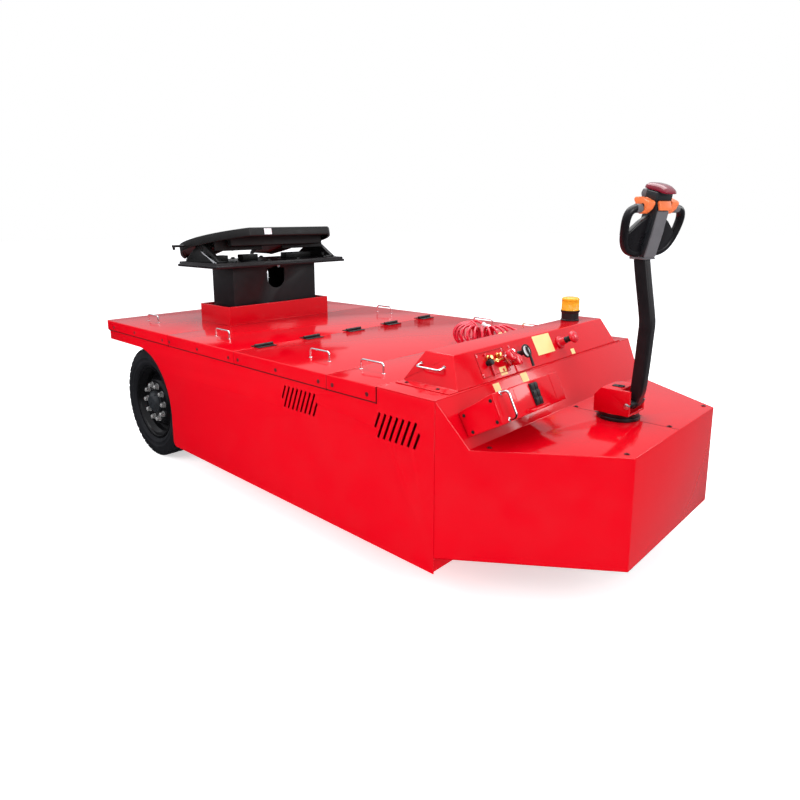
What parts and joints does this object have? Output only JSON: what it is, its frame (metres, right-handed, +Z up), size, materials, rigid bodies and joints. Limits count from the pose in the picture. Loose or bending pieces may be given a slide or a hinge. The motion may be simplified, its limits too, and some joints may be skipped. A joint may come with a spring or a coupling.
{
  "type": "airport towing tractor",
  "caption": "Electric airport towing tractor steered by a tiller, with a lifting fifth-wheel coupling at the rear and a hose for a trailer's air brakes.",
  "frame": {"origin": "on the ground below the centre of the body", "axes": "+X forward to the tiller end, +Y to the left side, +Z up"},
  "size_m": [3.486, 1.7, 1.6444],
  "materials": {
    "red_paint": "gloss",
    "red_frame": "satin",
    "grey_steel": "satin",
    "black_steel": "satin",
    "coupling_iron": "satin",
    "cast_grey": "matte",
    "hinge_steel": "satin",
    "hose_metal": "satin",
    "chrome": "gloss",
    "brass": "satin",
    "battery_case": "satin",
    "black_plastic": "matte",
    "grey_plastic": "matte",
    "red_plastic": "gloss",
    "orange_plastic": "satin",
    "amber": "gloss",
    "red_hose": "satin",
    "solid_tyre": "matte",
    "tyre": "matte"
  },
  "bodies": {
    "chassis": {"frame": "red_frame", "rear_axle": "grey_steel", "skirt_right": "red_paint", "skirt_left": "red_paint", "nose_housing": "red_paint", "deck_rear": "red_paint", "deck_mid": "red_paint", "deck_front": "red_paint", "collar": "red_paint", "lift_barrel": "grey_steel", "battery": "battery_case", "console": "red_paint", "control_box": "red_paint", "console_fittings": "black_plastic", "air_couplings": "brass", "stop_button": "red_plastic", "beacon_base": "black_plastic", "beacon_lens": "amber", "bow_handles": "chrome", "deck_hinges": "hinge_steel", "steering_ring": "black_steel", "hose_coil": "red_hose", "hose_tails": "red_hose", "hose_fittings": "hose_metal"},
    "battery_cover": {"battery_lid": "red_paint", "lid_fittings": "hinge_steel"},
    "steer": {"steering_base": "red_paint", "drive_unit": "cast_grey"},
    "drive_wheel": {"drive_tyre": "solid_tyre", "drive_hub": "cast_grey"},
    "tiller": {"tiller_arm": "black_steel", "tiller_head": "grey_plastic", "tiller_grips": "black_plastic", "tiller_switches": "orange_plastic"},
    "wheel_left": {"tyre_left": "tyre", "rim_left": "black_steel"},
    "wheel_right": {"tyre_right": "tyre", "rim_right": "black_steel"},
    "lift": {"lift_column": "black_steel", "lift_rod": "chrome", "coupling_base": "black_steel", "coupling_pedestals": "black_steel"},
    "fifth_wheel": {"coupling_plate": "coupling_iron", "lock_jaws": "coupling_iron", "release_handle": "black_steel"}
  },
  "joints": [
    {"name": "wheel_left_spin", "type": "hinge", "parent": "chassis", "child": "wheel_left", "pos_m": [-1.237, 0.7135, 0.3555], "axis": [0, 1, 0], "continuous": true},
    {"name": "wheel_right_spin", "type": "hinge", "parent": "chassis", "child": "wheel_right", "pos_m": [-1.237, -0.7135, 0.3555], "axis": [0, 1, 0], "continuous": true},
    {"name": "steering", "type": "hinge", "parent": "chassis", "child": "steer", "pos_m": [1.49, 0, 0.681], "axis": [0, 0, 1], "range_deg": [-90, 90]},
    {"name": "drive_spin", "type": "hinge", "parent": "steer", "child": "drive_wheel", "pos_m": [1.49, 0, 0.19], "axis": [0, 1, 0], "continuous": true},
    {"name": "tiller_tilt", "type": "hinge", "parent": "steer", "child": "tiller", "pos_m": [1.556, 0, 0.742], "axis": [0, 1, 0], "range_deg": [0, 65]},
    {"name": "battery_cover_hinge", "type": "hinge", "parent": "chassis", "child": "battery_cover", "pos_m": [-0.166, 0, 0.861], "axis": [0, -1, 0], "range_deg": [0, 100]},
    {"name": "coupling_lift", "type": "slide", "parent": "chassis", "child": "lift", "axis": [0, 0, 1], "range_m": [-0.2, 0.2]},
    {"name": "coupling_rock", "type": "hinge", "parent": "lift", "child": "fifth_wheel", "pos_m": [-1.08, 0, 1.355], "axis": [0, 1, 0], "range_deg": [0, 22]}
  ]
}
